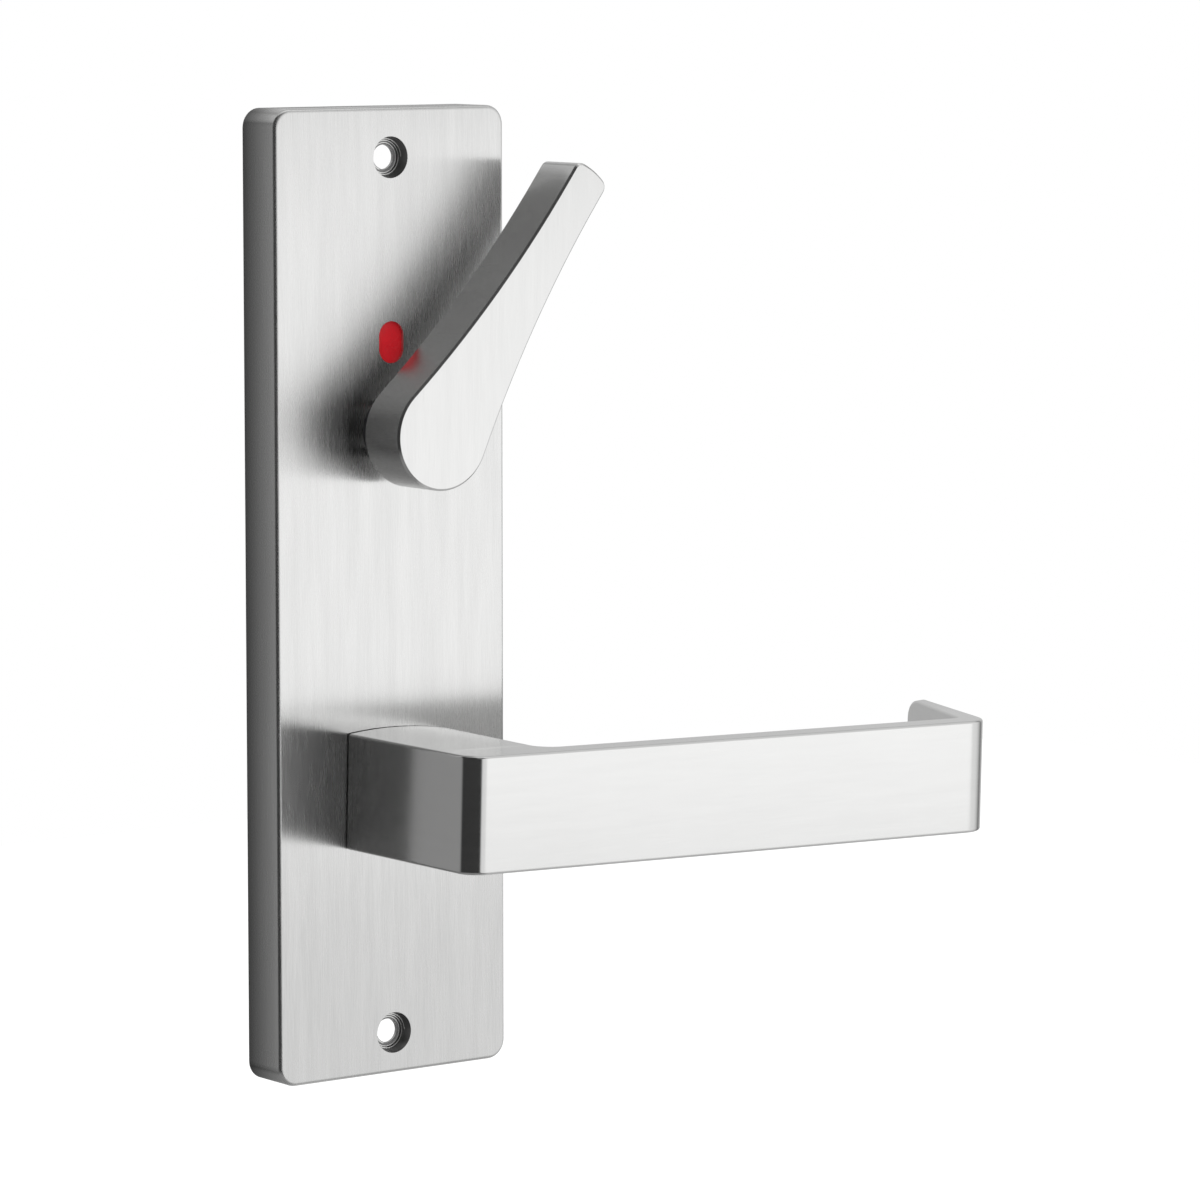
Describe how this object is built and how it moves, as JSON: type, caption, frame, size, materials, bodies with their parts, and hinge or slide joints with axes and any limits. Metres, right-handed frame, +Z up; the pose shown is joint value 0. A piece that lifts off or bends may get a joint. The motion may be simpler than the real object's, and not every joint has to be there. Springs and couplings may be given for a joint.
{
  "type": "lever handle on backplate",
  "caption": "Square-necked return lever on a tall hollow backplate, with a teardrop privacy snib above it, a red and green indicator window and stepped fixing holes.",
  "frame": {"origin": "on the lever spindle's axis at the door face (the plane of the backplate's rear rim)", "axes": "+X to the right across the plate, towards the lever's free end; +Y into the door; +Z up along the plate"},
  "size_m": [0.1876, 0.0982, 0.225],
  "materials": {
    "plate_steel": "satin stainless steel, brushed upright",
    "lever_steel": "satin stainless steel, brushed along the blade",
    "snib_steel": "satin stainless steel, finely brushed",
    "plated_steel": "bright zinc plate",
    "bar_steel": "drawn and zinc plated",
    "screw_steel": "zinc plated",
    "black_screw": "black oxide",
    "spring_steel": "oiled spring steel",
    "nylon": "moulded black nylon",
    "disc_white": "moulded white acetal",
    "red_flag": "glossy red",
    "green_flag": "glossy green"
  },
  "bodies": {
    "backplate": {"cover_plate": "plate_steel", "lever_bush": "nylon", "snib_bush": "nylon", "cassette_tray": "nylon", "cassette_cover": "plated_steel", "return_spring": "spring_steel", "cassette_screws": "screw_steel", "indicator_guard": "plated_steel", "guard_screws": "screw_steel"},
    "lever": {"lever_handle": "lever_steel", "lever_spindle": "bar_steel", "lever_grub_screw": "black_screw", "return_rotor": "plated_steel", "thrust_washer": "plated_steel", "lever_circlip": "spring_steel"},
    "snib": {"snib_handle": "snib_steel", "snib_spindle": "bar_steel", "snib_grub_screw": "black_screw", "indicator_disc": "disc_white", "red_flag": "red_flag", "green_flag": "green_flag", "spring_washer": "spring_steel", "snib_circlip": "spring_steel"}
  },
  "joints": [
    {"name": "lever_turn", "type": "hinge", "parent": "backplate", "child": "lever", "pos_m": [0, 0, 0], "axis": [0, 1, 0], "range_deg": [0, 45], "stiffness_Nm_per_rad": 0.7, "springref_deg": -51.57, "deforming": ["return_spring"]},
    {"name": "snib_turn", "type": "hinge", "parent": "backplate", "child": "snib", "pos_m": [0, 0, 0.0835], "axis": [0, 1, 0], "range_deg": [-72, 0]}
  ]
}
